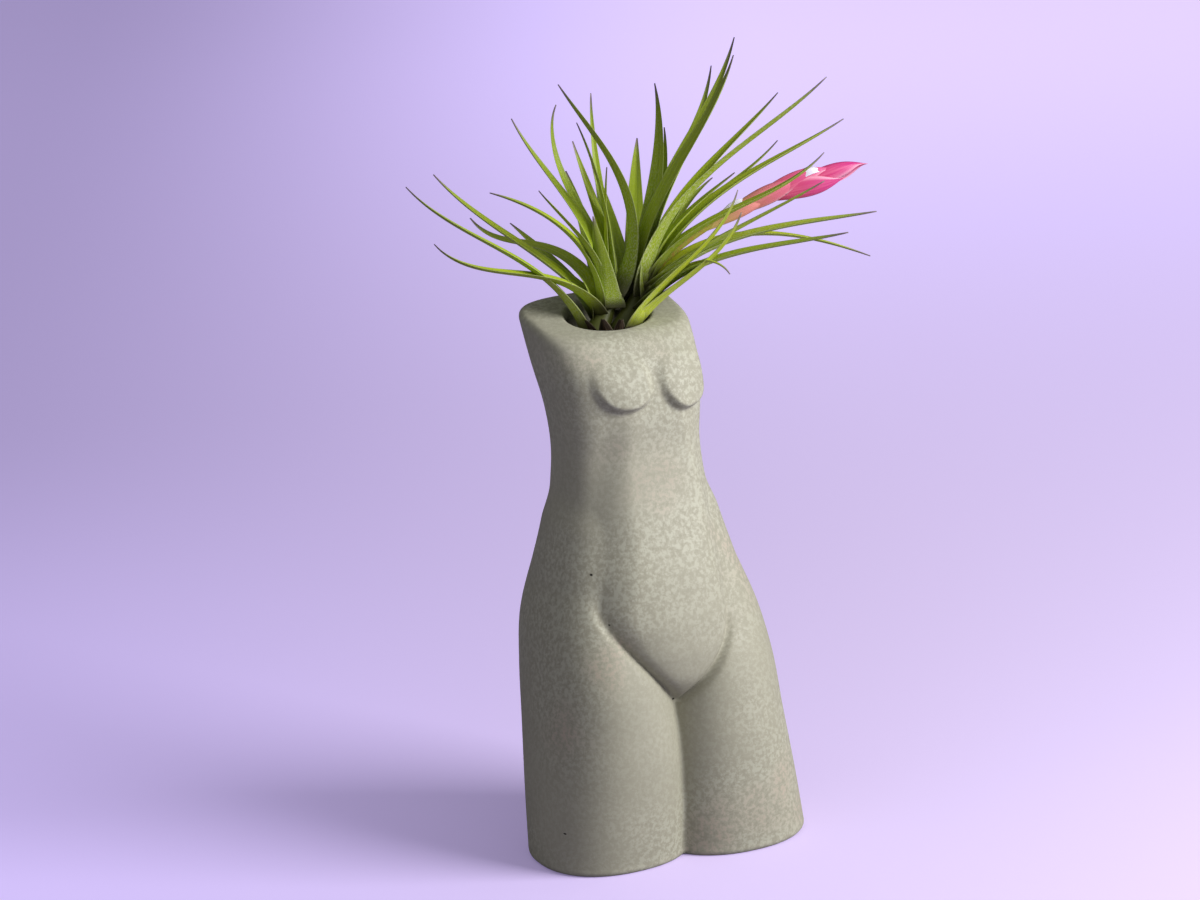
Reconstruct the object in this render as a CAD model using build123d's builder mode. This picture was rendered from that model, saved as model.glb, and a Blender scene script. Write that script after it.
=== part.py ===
from build123d import *
from math import cos, radians, sin
import os

os.makedirs("parts", exist_ok=True)

# Torso vase: a hollow cast, standing on its foot, in millimetres
figure_height = 168.0
hip_half_width = 44.0
body_half_depth = 26.0
wall_thickness = 4.5
floor_thickness = 6.0
neck_front_height = 158.0
neck_front_y = 0.0
neck_slope = 12.0
rim_round = 3.0
mouth_round = 1.5
hollow_first_row = 2
mouth_half_width = 13.0
mouth_half_depth = 11.0
mouth_centre_y = 16.5
cut_overrun = 26.0
oval_fullness_share = 0.62

# Bust: two domes on the front of the chest
bust_spacing = 21.0
bust_centre_y = 1.5
bust_centre_height = 144.0
bust_radius = 11.0

# Air plant: two short stems side by side in the mouth, each with its leaves
left_stem_foot = Vector(-4.0, 15.5, 156.5)
left_stem_top = Vector(4.0, 16.5, 168.0)
right_stem_foot = Vector(3.0, 12.0, 157.0)
right_stem_top = Vector(12.0, 14.0, 170.0)
stem_foot_radius = 4.5
stem_top_radius = 2.2
leaf_length = 80.0
leaf_width = 7.0
leaf_thickness = 1.3
leaf_tip_width = 0.5
stub_length = 16.0
stub_radius = 5.5
root_radius = 0.6
root_sides = 5
root_length = 22.0
sheath_length = 13.0
sheath_width = 8.0
sheath_inset = 1.0
sheath_base_rise = 80
sheath_middle_rise = 65
sheath_tip_rise = 50
spike_length = 76.0
stalk_radius = 1.5
bract_width = 7.6
bract_thickness = 4.2

# Sections of one leg and of the trunk, from the floor up. Each row is
# height, centre to the side, half width, front, widest line and back,
# as shares of the figure's height, hip half width and body half depth.
leg_shares = [
    (0.00, 0.460, 0.535, -0.86, 0.02, 0.98),
    (0.10, 0.450, 0.520, -0.92, 0.06, 1.05),
    (0.24, 0.432, 0.480, -0.93, 0.12, 1.24),
    (0.34, 0.440, 0.430, -0.84, 0.18, 1.40),
    (0.42, 0.430, 0.385, -0.64, 0.24, 1.44),
    (0.52, 0.355, 0.340, -0.40, 0.32, 1.30),
    (0.62, 0.250, 0.320, -0.22, 0.36, 1.04),
    (0.70, 0.180, 0.275, -0.10, 0.36, 0.80),
]
trunk_shares = [
    (0.290, 0.0, 0.08, -0.45, 0.00, 0.30),
    (0.330, 0.0, 0.26, -0.74, 0.00, 0.40),
    (0.370, 0.0, 0.45, -0.84, 0.02, 0.60),
    (0.420, 0.0, 0.59, -0.84, 0.10, 0.90),
    (0.500, 0.0, 0.620, -0.72, 0.26, 1.18),
    (0.590, 0.0, 0.578, -0.52, 0.36, 1.19),
    (0.670, 0.0, 0.528, -0.38, 0.36, 1.09),
    (0.730, 0.0, 0.509, -0.34, 0.34, 1.03),
    (0.810, 0.0, 0.530, -0.34, 0.36, 1.05),
    (0.890, 0.0, 0.561, -0.23, 0.53, 1.17),
    (0.960, 0.0, 0.582, 0.08, 0.76, 1.28),
    (1.060, 0.0, 0.600, 0.42, 0.95, 1.45),
]

# Leaves, outermost first. Each row is place up the stem as a share, heading
# in degrees from the front, rise in degrees at base, middle and tip, turn
# of the heading along the leaf, and shares of the leaf's length and width.
left_leaf_shares = [
    (0.00, -105, 72, 35, 55, 5, 0.91, 0.75),
    (0.30, -165, 45, 30, 25, 0, 0.56, 0.70),
    (0.35, -150, 95, 2, 37, -22, 0.82, 0.80),
    (0.46, -97, 64, 14, 58, 0, 0.73, 0.90),
    (0.50, -128, 52, 36, 53, 0, 0.80, 0.80),
    (0.50, 170, 60, 45, 30, 0, 0.62, 0.70),
    (0.56, -119, 95, 45, 18, 0, 0.65, 0.85),
    (0.60, -90, 100, 57, 55, 0, 0.55, 0.70),
    (0.60, -60, 95, 80, 85, 0, 0.36, 1.20),
    (0.65, -146, 98, 53, 65, 0, 0.79, 0.75),
    (0.77, -172, 92, 51, 132, 9, 0.79, 0.55),
    (0.78, -168, 105, 67, 69, 0, 0.61, 0.60),
    (0.90, 170, 86, 72, 106, 0, 0.75, 0.45),
    (0.90, -110, 88, 92, 98, 0, 0.48, 0.40),
    (0.98, -98, 130, 69, 62, 0, 0.88, 1.10),
    (1.00, -117, 94, 81, 69, 0, 0.65, 0.60),
]
right_leaf_shares = [
    (0.00, 47, 63, 42, 74, 0, 0.69, 1.00),
    (0.12, 48, 48, 37, 72, 0, 0.61, 0.90),
    (0.30, 125, 50, 25, 10, 0, 0.78, 0.80),
    (0.40, 170, 60, 50, 35, 0, 0.62, 0.90),
    (0.42, 50, 47, 13, 13, 0, 0.87, 0.90),
    (0.56, 84, 95, 53, 71, 5, 0.99, 1.20),
    (0.60, 150, 60, 40, 20, 0, 0.75, 0.90),
    (0.61, 68, 46, 10, 6, 0, 0.95, 1.00),
    (0.63, 75, 54, -4, -26, 4, 0.97, 0.70),
    (0.65, 120, 74, 70, 108, 0, 0.80, 1.00),
    (0.72, 50, 82, 39, 44, 3, 1.12, 1.15),
    (0.81, 33, 15, 27, -61, -2, 0.42, 0.40),
    (0.81, 53, 39, 27, 30, 0, 0.80, 0.80),
    (0.81, 104, 87, 48, 69, 2, 1.02, 0.90),
    (0.85, 116, 86, 42, 77, 2, 0.91, 0.80),
    (0.86, 73, 78, 42, 35, 0, 0.55, 0.60),
    (0.86, 120, 75, 62, 100, 0, 0.60, 0.70),
    (0.87, 86, 62, 24, 25, 1, 1.01, 0.90),
    (0.96, 104, 68, 32, 34, 2, 0.94, 0.80),
    (0.97, 103, 58, 22, 36, 0, 0.80, 0.50),
    (1.00, 63, 59, 22, 48, 3, 0.82, 0.90),
]
spike_heading = 86
spike_base_rise = 44
spike_middle_rise = 22
spike_tip_rise = 12
# First and last place on the spike and shift off its line, tip bract first
bract_shares = [
    (0.76, 1.00, 0.00),
    (0.64, 0.90, -0.12),
    (0.54, 0.84, 0.16),
    (0.44, 0.68, -0.15),
    (0.34, 0.60, 0.12),
]
bract_swell_shares = [(0.0, 0.35), (0.3, 0.85), (0.55, 1.0), (0.8, 0.7), (1.0, 0.08)]
stalk_station_shares = [0.0, 0.25, 0.5]
# Heading, fall at the start and fall at the end of each root, in degrees
root_angles = [(20, -72, -86), (100, -66, -80), (160, -62, -84), (230, -60, -80), (300, -68, -86)]
root_station_shares = [0.0, 0.35, 0.7, 1.0]
sheath_headings = [-80, -40, 0, 40, 80]
seat_clearance = 0.3
leaf_station_shares = [0.0, 0.12, 0.3, 0.5, 0.72, 1.0]
leaf_steps = 24
leaf_taper_share = 1.4
leaf_thinning_share = 0.7
leaf_channel_share = 0.35
leaf_seat_share = 0.7
# Middle of the hollow, where the two legs are joined
middle_shares = [
    (0.00, 0.0, 0.35, -0.56, 0.02, 0.64),
    (0.18, 0.0, 0.35, -0.50, 0.08, 0.64),
    (0.42, 0.0, 0.40, -0.60, 0.12, 0.74),
]


def section(height, centre_x, half_width, front, widest, back, inset):
    """Oval across the body, squarer than an ellipse, moved in by the inset."""
    half_width = half_width - inset
    front = front + inset
    back = back - inset
    reach_x = oval_fullness_share * half_width
    reach_front = widest + oval_fullness_share * (front - widest)
    reach_back = widest + oval_fullness_share * (back - widest)
    left, right = centre_x - half_width, centre_x + half_width
    with BuildSketch(Plane.XY.offset(height)) as outline:
        with BuildLine():
            Bezier((right, widest), (right, reach_back), (centre_x + reach_x, back), (centre_x, back))
            Bezier((centre_x, back), (centre_x - reach_x, back), (left, reach_back), (left, widest))
            Bezier((left, widest), (left, reach_front), (centre_x - reach_x, front), (centre_x, front))
            Bezier((centre_x, front), (centre_x + reach_x, front), (right, reach_front), (right, widest))
        make_face()
    return outline.sketch


def stack(shares, side, inset):
    """Loft through the sections of a leg or of the trunk."""
    sections = []
    for height, centre, half_width, front, widest, back in shares:
        sections.append(
            section(
                height * figure_height,
                side * centre * hip_half_width,
                half_width * hip_half_width,
                front * body_half_depth,
                widest * body_half_depth,
                back * body_half_depth,
                inset,
            )
        )
    loft(sections)


def arc_frames(start, heading, base_rise, middle_rise, tip_rise, turn, length):
    """Points, directions and side vectors along a leaf that bends as it grows."""
    frames = []
    point = start
    for step in range(leaf_steps + 1):
        share = step / leaf_steps
        rise = radians(
            base_rise * (1 - share) * (1 - 2 * share)
            + middle_rise * 4 * share * (1 - share)
            + tip_rise * share * (2 * share - 1)
        )
        bearing = radians(heading + turn * share)
        ahead = Vector(cos(rise) * sin(bearing), -cos(rise) * cos(bearing), sin(rise))
        frames.append((point, ahead, Vector(cos(bearing), sin(bearing), 0)))
        point = point + ahead * (length / leaf_steps)
    return frames


def outward(heading):
    """Level unit vector in a heading, in degrees from the front."""
    return Vector(sin(radians(heading)), -cos(radians(heading)), 0)


def blade(frames, width, thickness):
    """Channelled blade: a chevron section that narrows to a fine tip."""
    sections = []
    for station in leaf_station_shares:
        origin, ahead, side = frames[round(station * leaf_steps)]
        half = (leaf_tip_width + (width - leaf_tip_width) * (1 - station**leaf_taper_share)) / 2
        deep = thickness * (1 - leaf_thinning_share * station) / 2
        lift = leaf_channel_share * half
        with BuildSketch(Plane(origin=origin, x_dir=side, z_dir=ahead)) as outline:
            with BuildLine():
                Polyline((-half, lift), (0, -deep), (half, lift), (0, deep), close=True)
            make_face()
        sections.append(outline.sketch)
    loft(sections)


def stem_frames(foot, top, row):
    """Frames of one leaf of the table, from its place on the stem."""
    along, heading, base_rise, middle_rise, tip_rise, turn, length, width = row
    out = leaf_seat_share * (stem_foot_radius + (stem_top_radius - stem_foot_radius) * along)
    start = foot + (top - foot) * along + outward(heading) * out
    return arc_frames(start, heading, base_rise, middle_rise, tip_rise, turn, length * leaf_length)


def rosette(foot, top, rows):
    """Short tapering stem with its leaves."""
    axis = top - foot
    with BuildSketch(Plane(origin=foot, z_dir=axis)) as low:
        Circle(stem_foot_radius)
    with BuildSketch(Plane(origin=top, z_dir=axis)) as high:
        Circle(stem_top_radius)
    loft([low.sketch, high.sketch])
    for row in rows:
        blade(stem_frames(foot, top, row), row[-1] * leaf_width, leaf_thickness)


def finish(piece, name):
    """Label one piece and write it."""
    piece.part.label = name
    export_step(piece.part, f"parts/{name}.step")
    print(name, len(piece.part.solids()), piece.part.is_valid)


neck_plane = Plane(
    origin=(0, neck_front_y, neck_front_height),
    x_dir=(1, 0, 0),
    z_dir=(0, -sin(radians(neck_slope)), cos(radians(neck_slope))),
)

with BuildPart() as hollow:
    stack(leg_shares, 1, wall_thickness)
    stack(leg_shares, -1, wall_thickness)
    stack(middle_shares, 1, wall_thickness)
    stack(trunk_shares[hollow_first_row:], 1, wall_thickness)
    split(bisect_by=neck_plane.offset(-wall_thickness), keep=Keep.BOTTOM)
    split(bisect_by=Plane.XY.offset(floor_thickness), keep=Keep.TOP)

with BuildPart() as torso_vase:
    stack(leg_shares, 1, 0)
    stack(leg_shares, -1, 0)
    stack(trunk_shares, 1, 0)
    with Locations((0, bust_centre_y, bust_centre_height)):
        with GridLocations(bust_spacing, 0, 2, 1):
            Sphere(bust_radius)
    split(bisect_by=neck_plane, keep=Keep.BOTTOM)
    fillet(torso_vase.faces().sort_by(Axis.Z)[-1].edges(), rim_round)
    add(hollow.part, mode=Mode.SUBTRACT)
    with BuildSketch(neck_plane) as mouth:
        with Locations((0, mouth_centre_y)):
            Ellipse(mouth_half_width, mouth_half_depth)
    extrude(mouth.sketch, amount=-2 * wall_thickness, mode=Mode.SUBTRACT)
    mouth_edge = torso_vase.faces().filter_by(neck_plane).sort_by(Axis.Z)[-1].inner_wires()[0].edges()
    fillet(mouth_edge, mouth_round)
finish(torso_vase, "torso_vase")

spike_frames = arc_frames(
    right_stem_top, spike_heading, spike_base_rise, spike_middle_rise, spike_tip_rise, 0, spike_length
)
with BuildPart() as flower_stalk:
    sections = []
    for station in stalk_station_shares:
        origin, ahead, side = spike_frames[round(station * leaf_steps)]
        with BuildSketch(Plane(origin=origin, x_dir=side, z_dir=ahead)) as outline:
            Circle(stalk_radius)
        sections.append(outline.sketch)
    loft(sections)
finish(flower_stalk, "flower_stalk")

bracts = []
for first, last, shift in bract_shares:
    with BuildPart() as bract:
        sections = []
        for station, swell in bract_swell_shares:
            origin, ahead, side = spike_frames[round((first + (last - first) * station) * leaf_steps)]
            plane = Plane(origin=origin, x_dir=side, z_dir=ahead)
            with BuildSketch(plane) as outline:
                with Locations((0, shift * bract_width * (1 - station))):
                    Ellipse(bract_thickness / 2 * swell, bract_width / 2 * swell)
            sections.append(outline.sketch)
        loft(sections)
        add(flower_stalk.part, mode=Mode.SUBTRACT)
        for inner in bracts:
            add(inner.part, mode=Mode.SUBTRACT)
    bracts.append(bract)
for number, bract in enumerate(bracts):
    finish(bract, f"bract_{len(bracts) - number}")

with BuildPart() as right_rosette:
    rosette(right_stem_foot, right_stem_top, right_leaf_shares)
    add(flower_stalk.part, mode=Mode.SUBTRACT)
    for bract in bracts:
        add(bract.part, mode=Mode.SUBTRACT)
finish(right_rosette, "right_rosette")

with BuildPart() as left_rosette:
    rosette(left_stem_foot, left_stem_top, left_leaf_shares)
    add(right_rosette.part, mode=Mode.SUBTRACT)
finish(left_rosette, "left_rosette")

stub_top = (left_stem_foot + right_stem_foot) / 2
with BuildPart() as root_clump:
    with BuildSketch(Plane(origin=stub_top, z_dir=(0, 0, 1))) as top:
        Circle(stub_radius)
    with BuildSketch(Plane(origin=stub_top - Vector(0, 0, stub_length), z_dir=(0, 0, 1))) as low:
        Circle(stub_radius / 2)
    loft([low.sketch, top.sketch])
    for heading, fall, curl in root_angles:
        start = stub_top - Vector(0, 0, stub_length / 2)
        sections = []
        frames = arc_frames(start, heading, fall, (fall + curl) / 2, curl, 0, root_length)
        for station in root_station_shares:
            origin, ahead, side = frames[round(station * leaf_steps)]
            with BuildSketch(Plane(origin=origin, x_dir=side, z_dir=ahead)) as outline:
                RegularPolygon(root_radius, root_sides)
            sections.append(outline.sketch)
        loft(sections)
    add(right_rosette.part, mode=Mode.SUBTRACT)
    add(left_rosette.part, mode=Mode.SUBTRACT)
finish(root_clump, "root_clump")

with BuildPart() as dry_sheaths:
    for heading in sheath_headings:
        start = stub_top - Vector(0, 0, sheath_length / 2) + outward(heading) * (stub_radius - sheath_inset)
        frames = arc_frames(
            start, heading, sheath_base_rise, sheath_middle_rise, sheath_tip_rise, 0, sheath_length
        )
        blade(frames, sheath_width, leaf_thickness)
    with BuildSketch(Plane.XY.offset(neck_front_height - cut_overrun)) as room:
        with Locations((0, mouth_centre_y)):
            Ellipse(mouth_half_width - seat_clearance, mouth_half_depth - seat_clearance)
    extrude(room.sketch, amount=2 * cut_overrun, mode=Mode.INTERSECT)
    add(root_clump.part, mode=Mode.SUBTRACT)
    add(right_rosette.part, mode=Mode.SUBTRACT)
    add(left_rosette.part, mode=Mode.SUBTRACT)
finish(dry_sheaths, "dry_sheaths")
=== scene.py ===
import math
import random

import bmesh
import bpy
import numpy as np
from mathutils import Matrix, Vector


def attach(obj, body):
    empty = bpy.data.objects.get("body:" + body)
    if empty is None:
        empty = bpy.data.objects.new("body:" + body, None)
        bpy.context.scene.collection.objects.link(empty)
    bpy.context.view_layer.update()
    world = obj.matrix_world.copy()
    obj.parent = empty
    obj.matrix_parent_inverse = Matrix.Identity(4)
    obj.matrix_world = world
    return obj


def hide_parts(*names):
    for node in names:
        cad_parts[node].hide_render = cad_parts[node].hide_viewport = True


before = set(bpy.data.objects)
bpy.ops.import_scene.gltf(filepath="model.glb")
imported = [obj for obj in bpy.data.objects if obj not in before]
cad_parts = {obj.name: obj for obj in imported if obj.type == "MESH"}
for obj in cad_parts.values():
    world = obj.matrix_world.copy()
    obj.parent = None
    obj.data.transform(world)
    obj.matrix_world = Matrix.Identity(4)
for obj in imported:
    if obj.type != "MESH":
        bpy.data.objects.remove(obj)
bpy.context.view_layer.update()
MM = 0.001
TINY = 1e-6
rng = random.Random(7)


class Shader:
    """A node material in the making. Colours are sRGB, 0 to 255, and noise scales per metre."""

    def __init__(self, name):
        self.material = bpy.data.materials.new(name)
        self.material.use_nodes = True
        self.tree = self.material.node_tree
        self.surface = self.tree.nodes["Principled BSDF"]
        self.coordinates = self.add("ShaderNodeTexCoord").outputs["Object"]

    def add(self, kind, **settings):
        made = self.tree.nodes.new(kind)
        for key, value in settings.items():
            setattr(made, key, value)
        return made

    def join(self, source, target):
        """Links a socket into an input, or writes a constant there."""
        if isinstance(source, bpy.types.NodeSocket):
            self.tree.links.new(source, target)
        else:
            target.default_value = source

    def noise(self, scale, detail=2.0, roughness=0.5, distortion=0.0, vector=None):
        made = self.add("ShaderNodeTexNoise")
        self.join(vector or self.coordinates, made.inputs["Vector"])
        made.inputs["Scale"].default_value = scale
        made.inputs["Detail"].default_value = detail
        made.inputs["Roughness"].default_value = roughness
        made.inputs["Distortion"].default_value = distortion
        return made.outputs["Fac"]

    def span(self, value, low, high, to_low=0.0, to_high=1.0):
        """Smooth change from one number to another while the value runs from low to high."""
        made = self.add("ShaderNodeMapRange", interpolation_type="SMOOTHSTEP")
        self.join(value, made.inputs["Value"])
        made.inputs["From Min"].default_value = low
        made.inputs["From Max"].default_value = high
        made.inputs["To Min"].default_value = to_low
        made.inputs["To Max"].default_value = to_high
        return made.outputs["Result"]

    def math(self, kind, first, second=0.0):
        made = self.add("ShaderNodeMath", operation=kind)
        self.join(first, made.inputs[0])
        self.join(second, made.inputs[1])
        return made.outputs[0]

    def times(self, first, second):
        return self.math("MULTIPLY", first, second)

    def mix(self, share, first, second, blend="MIX"):
        made = self.add("ShaderNodeMix", data_type="RGBA", blend_type=blend)
        self.join(share, made.inputs["Factor"])
        for value, target in ((first, made.inputs["A"]), (second, made.inputs["B"])):
            if isinstance(value, tuple):
                value = tone(*value)
            self.join(value, target)
        return made.outputs["Result"]

    def attribute(self, name):
        return self.add("ShaderNodeAttribute", attribute_name=name).outputs["Fac"]

    def combine(self, x, y, z):
        made = self.add("ShaderNodeCombineXYZ")
        for value, target in zip((x, y, z), made.inputs):
            self.join(value, target)
        return made.outputs["Vector"]

    def split(self, vector):
        made = self.add("ShaderNodeSeparateXYZ")
        self.join(vector, made.inputs[0])
        return made.outputs["X"], made.outputs["Y"], made.outputs["Z"]

    def distance(self, vector, point):
        made = self.add("ShaderNodeVectorMath", operation="DISTANCE")
        self.join(vector, made.inputs[0])
        made.inputs[1].default_value = point
        return made.outputs["Value"]

    def bump(self, height, distance, strength=1.0, normal=None):
        made = self.add("ShaderNodeBump")
        made.inputs["Strength"].default_value = strength
        made.inputs["Distance"].default_value = distance
        self.join(height, made.inputs["Height"])
        if normal is not None:
            self.join(normal, made.inputs["Normal"])
        return made.outputs["Normal"]

    def finish(self, colour, roughness, normal=None, **constants):
        self.join(colour, self.surface.inputs["Base Color"])
        self.join(roughness, self.surface.inputs["Roughness"])
        if normal is not None:
            self.join(normal, self.surface.inputs["Normal"])
        for key, value in constants.items():
            self.surface.inputs[key.replace("_", " ")].default_value = value
        return self.material


def tone(red, green, blue):
    """Linear colour from an sRGB one written 0 to 255."""
    parts = [value / 255 for value in (red, green, blue)]
    return [p / 12.92 if p <= 0.04045 else ((p + 0.055) / 1.055) ** 2.4 for p in parts] + [1.0]


def mesh_object(name, points, faces, material, body, nodes, attributes=None):
    """A smooth-shaded mesh in millimetres that rides on a body and stands for CAD nodes."""
    mesh = bpy.data.meshes.new(name)
    mesh.from_pydata((np.asarray(points, float) * MM).tolist(), [], faces)
    for key, values in (attributes or {}).items():
        made = mesh.attributes.new(key, "FLOAT", "POINT")
        made.data.foreach_set("value", np.asarray(values, np.float32))
    work = bmesh.new()
    work.from_mesh(mesh)
    bmesh.ops.recalc_face_normals(work, faces=work.faces)
    work.to_mesh(mesh)
    work.free()
    mesh.polygons.foreach_set("use_smooth", [True] * len(mesh.polygons))
    mesh.materials.append(material)
    made = bpy.data.objects.new(name, mesh)
    bpy.context.scene.collection.objects.link(made)
    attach(made, body)
    if nodes:
        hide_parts(*nodes)
    return made


def ring_faces(rings, count, first=0):
    """Quads between closed rings of count points each, numbered one ring after another."""
    faces = []
    for ring in range(rings - 1):
        low, high = first + ring * count, first + (ring + 1) * count
        for i in range(count):
            j = (i + 1) % count
            faces.append((low + i, low + j, high + j, high + i))
    return faces


def along_rows(rows, place):
    """Every column of a table at the given places, on smooth curves through its rows."""
    table = np.array(rows, float)
    knots, values = table[:, 0], table[:, 1:]
    slopes = np.gradient(values, knots, axis=0)
    place = np.clip(place, knots[0], knots[-1])
    i = np.clip(np.searchsorted(knots, place, side="right") - 1, 0, len(knots) - 2)
    step = (knots[i + 1] - knots[i])[..., None]
    t = (place - knots[i])[..., None] / step
    curve = (
        (1 + 2 * t) * (1 - t) ** 2 * values[i]
        + t * (1 - t) ** 2 * step * slopes[i]
        + t * t * (3 - 2 * t) * values[i + 1]
        - t * t * (1 - t) * step * slopes[i + 1]
    )
    return np.moveaxis(curve, -1, 0)


def smooth_step(value, low, high):
    t = np.clip((value - low) / (high - low), 0, 1)
    return t * t * (3 - 2 * t)


# Torso vase, in millimetres. The legs' and the trunk's tables hold shares of these three lengths.
HEIGHT, HIP, DEPTH = 168.0, 44.0, 26.0
# Height, centre to the side, half width, front, widest line, back, squareness of the section
LEFT_LEG = [
    (0.00, 0.420, 0.532, -0.81, 0.06, 1.00, 2.25),
    (0.10, 0.408, 0.524, -0.88, 0.10, 1.07, 2.25),
    (0.24, 0.398, 0.482, -0.90, 0.14, 1.25, 2.25),
    (0.34, 0.405, 0.424, -0.83, 0.18, 1.40, 2.25),
    (0.42, 0.400, 0.378, -0.64, 0.24, 1.44, 2.25),
    (0.52, 0.335, 0.330, -0.40, 0.32, 1.30, 2.25),
    (0.62, 0.240, 0.305, -0.22, 0.36, 1.04, 2.25),
    (0.70, 0.180, 0.275, -0.10, 0.36, 0.80, 2.25),
]
RIGHT_LEG = [
    (0.00, 0.425, 0.545, -1.00, -0.06, 0.92, 2.25),
    (0.10, 0.405, 0.520, -1.03, -0.02, 1.00, 2.25),
    (0.24, 0.390, 0.470, -1.00, 0.07, 1.20, 2.25),
    (0.34, 0.400, 0.430, -0.88, 0.14, 1.38, 2.25),
    (0.42, 0.400, 0.388, -0.66, 0.22, 1.43, 2.25),
    (0.52, 0.345, 0.330, -0.40, 0.32, 1.30, 2.25),
    (0.62, 0.250, 0.310, -0.22, 0.36, 1.04, 2.25),
    (0.70, 0.180, 0.275, -0.10, 0.36, 0.80, 2.25),
]
TRUNK = [
    (0.285, 0.00, 0.08, -0.50, 0.00, 0.30, 2.2),
    (0.330, 0.01, 0.30, -0.77, 0.00, 0.40, 2.2),
    (0.370, 0.02, 0.49, -0.83, 0.02, 0.60, 2.2),
    (0.420, 0.01, 0.578, -0.80, 0.10, 0.90, 2.3),
    (0.500, 0.00, 0.607, -0.64, 0.26, 1.18, 2.4),
    (0.590, 0.00, 0.567, -0.42, 0.36, 1.19, 2.5),
    (0.670, 0.00, 0.514, -0.28, 0.36, 1.09, 2.7),
    (0.730, 0.00, 0.494, -0.23, 0.34, 1.03, 2.9),
    (0.810, 0.00, 0.510, -0.27, 0.36, 1.05, 3.1),
    (0.890, -0.01, 0.534, -0.23, 0.53, 1.17, 3.4),
    (0.960, -0.01, 0.547, 0.08, 0.76, 1.28, 3.6),
    (1.060, -0.01, 0.566, 0.42, 0.95, 1.45, 3.6),
]
LEGS_END, TRUNK_START = 0.70 * HEIGHT, TRUNK[0][0] * HEIGHT
# How fast a form shrinks past its table's end, and how the legs sink into the waist before that
END_STEEPNESS, WAIST_SINK, WAIST_FROM, WAIST_TO = 2, 6.0, 0.60 * HEIGHT, 0.71 * HEIGHT
# How softly the legs meet each other and the trunk, which gets softer higher up and behind
FORK_BLEND, CREASE, CREASE_HIGH, CREASE_BEHIND = 1.6, 1.2, 2.5, 2.0
CREASE_LOW_Z, CREASE_HIGH_Z, CREASE_FRONT_Y, CREASE_BACK_Y = 72, 92, -8, 10
# Share of the height, y in mm of the line inside the body that its rings turn round
AXIS = [(0.0, 0.0), (0.3, 3.0), (0.45, 7.0), (0.7, 9.0), (0.88, 13.0), (1.0, 17.0)]
# Share of the height, then in mm left and right edge, left and right flank, rise and groove of
# the belly's panel
PANEL = [
    (0.285, 0.6, 0.6, 3.0, 3.0, 0.6, 0.4),
    (0.330, -6.4, 8.4, 4.5, 4.5, 0.9, 0.8),
    (0.366, -11.8, 12.8, 5.0, 5.0, 1.1, 0.9),
    (0.400, -16.4, 15.8, 6.0, 5.5, 1.6, 0.8),
    (0.455, -22.0, 17.4, 11.0, 6.5, 2.6, 0.4),
    (0.520, -20.5, 18.2, 13.0, 7.5, 3.5, 0.0),
    (0.600, -17.0, 18.6, 12.0, 8.0, 3.5, 0.0),
    (0.660, -15.6, 18.8, 11.0, 8.0, 3.2, 0.0),
    (0.725, -13.6, 17.5, 10.0, 8.0, 2.9, 0.0),
    (0.800, -11.0, 15.0, 9.0, 8.0, 1.8, 0.0),
    (0.870, -8.0, 12.0, 9.0, 8.0, 0.0, 0.0),
]
# The panel fades in behind PANEL_FRONT, and the legs lie PANEL_CUT deeper under it
PANEL_FRONT, PANEL_FADE, PANEL_CUT = 4.0, 12.0, 4.0
# Shares of a flank's width that lie outside and inside the panel's edge
FLANK_OUTSIDE, FLANK_INSIDE = 0.3, 0.7
GROOVE_WIDTH, RIGHT_GROOVE_SHARE, EDGE_STEP = 0.9, 0.6, 0.004
WALL, FLOOR_THICKNESS, NECK_HEIGHT, NECK_SLOPE = 4.5, 6.0, 158.0, math.radians(12.0)
UNDER_NECK = WALL + 1.0
FOOT_ROUND, RIM_ROUND, MOUTH_ROUND = 1.6, 2.4, 1.5
MOUTH_X, MOUTH_Y, MOUTH_CENTRE = 13.0, 11.0, 16.5
# Points round a ring, rings up the outside and down the inside
AROUND, UP, DOWN = 360, 300, 60
# Nearest and furthest the surface can lie from the inner line, and the halvings that find it
NEAREST, FURTHEST, HALVINGS, LEVELLINGS = 0.5, 62.0, 22, 7
# Middle, half width, level of the middle, level of the lip and rise at the lip, for each side
BUST = [(-7.6, 10.4, 144.4, 136.6, 3.6), (13.6, 10.4, 142.6, 134.0, 3.8)]
BUST_TOP, BUST_ABOVE, BUST_BEND, BUST_POWER = 153.5, 12.0, 3.5, 2.3
LIP_FADE, LIP_REST, SIDE_FALL = 0.32, 1.5, 0.55
# How much a place has to face the front before the bust starts, and before it is full
FACING_START, FACING_FULL = 0.15, 0.5


def oval(x, y, z, rows, side):
    """Roughly the distance outside the oval section of a leg or the trunk."""
    centre, half, front, widest, back, power = along_rows(rows, z / HEIGHT)
    dx = x - side * centre * HIP
    dy = y - widest * DEPTH
    depth = np.where(dy < 0, widest - front, back - widest) * DEPTH
    share = (np.abs(dx / (half * HIP)) ** power + np.abs(dy / depth) ** power) ** (1 / power)
    reach = np.hypot(dx, dy)
    return reach - reach / np.maximum(share, TINY)


def soft_min(a, b, radius):
    h = np.clip(0.5 + 0.5 * (b - a) / radius, 0, 1)
    return b * (1 - h) + a * h - radius * h * (1 - h)


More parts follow.
